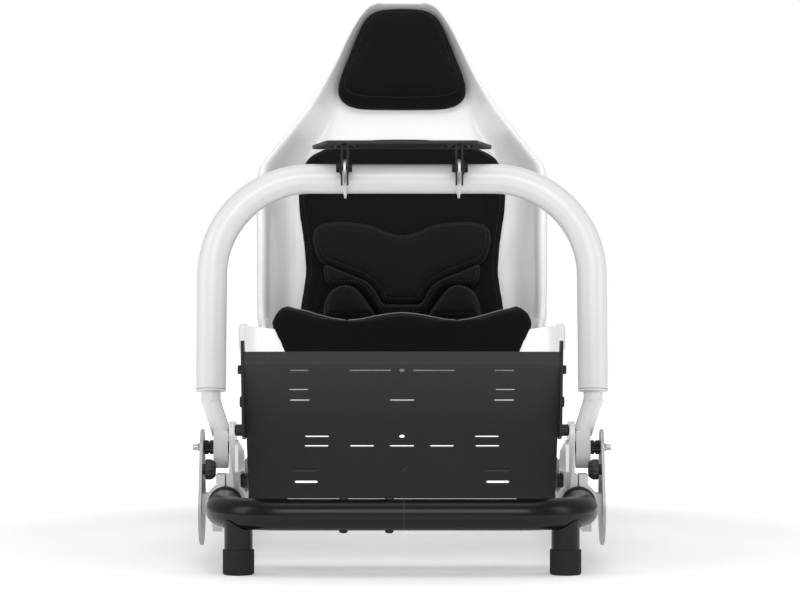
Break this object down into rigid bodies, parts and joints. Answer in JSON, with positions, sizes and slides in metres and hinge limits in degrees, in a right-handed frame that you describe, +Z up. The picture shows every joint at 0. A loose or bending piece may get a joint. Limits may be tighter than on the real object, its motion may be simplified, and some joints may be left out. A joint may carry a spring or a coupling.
{
  "type": "sim racing cockpit",
  "caption": "Reclined bucket seat on a tubular base, with a sliding carriage that carries a sloping pedal plate and a tube hoop with a steering wheel plate.",
  "frame": {"origin": "middle of the bounding box, on the floor", "axes": "+Z up, +Y from the pedals towards the seat, +X to the right of someone who looks from the pedals to the seat"},
  "size_m": [0.698, 1.44, 1.0221],
  "materials": {
    "black_paint": "satin powder coat, very fine texture",
    "white_paint": "smooth satin powder coat",
    "grey_paint": "satin grey powder coat",
    "dark_plate": "fine-textured matte powder coat",
    "black_steel": "blackened bolt steel, low gloss",
    "rubber_foot": "matte moulded rubber",
    "black_plastic": "fine-grained moulded plastic",
    "white_plastic": "satin moulded plastic",
    "white_shell": "glossy white gel coat",
    "black_fabric": "dark knitted upholstery fabric over foam"
  },
  "bodies": {
    "base": {"base_left": "black_paint", "base_right": "black_paint", "front_legs": "black_paint", "rear_legs": "black_paint", "front_feet": "rubber_foot", "rear_feet": "rubber_foot", "joiner_bolts": "black_steel", "seat_brackets": "black_paint", "seat_crossbars": "black_paint", "seat_shell": "white_shell", "seat_cushion": "black_fabric", "backrest_pad": "black_fabric", "shoulder_pad": "black_fabric", "lumbar_pad": "black_fabric", "hip_pad_left": "black_fabric", "hip_pad_right": "black_fabric", "headrest_pad": "black_fabric"},
    "carriage": {"collar_left": "white_paint", "collar_right": "white_paint", "bushings": "black_plastic", "collar_knobs": "black_plastic", "side_plate_left": "grey_paint", "side_plate_right": "grey_paint", "upright_left": "white_paint", "upright_right": "white_paint", "pedal_bracket_left": "white_paint", "pedal_bracket_right": "white_paint", "tilt_knobs": "black_plastic", "pivot_bolts": "black_steel"},
    "hoop_arms": {"hoop_arm_left": "white_paint", "hoop_arm_right": "white_paint"},
    "hoop": {"hoop": "white_paint", "sleeve_caps": "white_plastic", "wheel_tabs": "white_paint"},
    "wheel_mount": {"wheel_plate": "dark_plate", "wheel_bracket_left": "black_paint", "wheel_bracket_right": "black_paint", "wheel_bolts": "black_steel"},
    "pedal_mount": {"pedal_plate": "dark_plate", "pedal_cheek_left": "black_paint", "pedal_cheek_right": "black_paint", "pedal_bolts": "black_steel"}
  },
  "joints": [
    {"name": "carriage_slide", "type": "slide", "parent": "base", "child": "carriage", "axis": [0, 1, 0], "range_m": [-0.06, 0.15]},
    {"name": "hoop_tilt", "type": "hinge", "parent": "carriage", "child": "hoop_arms", "pos_m": [0, -0.408, 0.187], "axis": [1, 0, 0], "range_deg": [-10, 12]},
    {"name": "hoop_height", "type": "slide", "parent": "hoop_arms", "child": "hoop", "axis": [0, 0.1392, 0.9903], "range_m": [0, 0.06]},
    {"name": "wheel_tilt", "type": "hinge", "parent": "hoop", "child": "wheel_mount", "pos_m": [0, -0.39268, 0.65457], "axis": [1, 0, 0], "range_deg": [-12, 10]},
    {"name": "pedal_tilt", "type": "hinge", "parent": "carriage", "child": "pedal_mount", "pos_m": [0, -0.616, 0.226], "axis": [1, 0, 0], "range_deg": [-8, 12]}
  ]
}
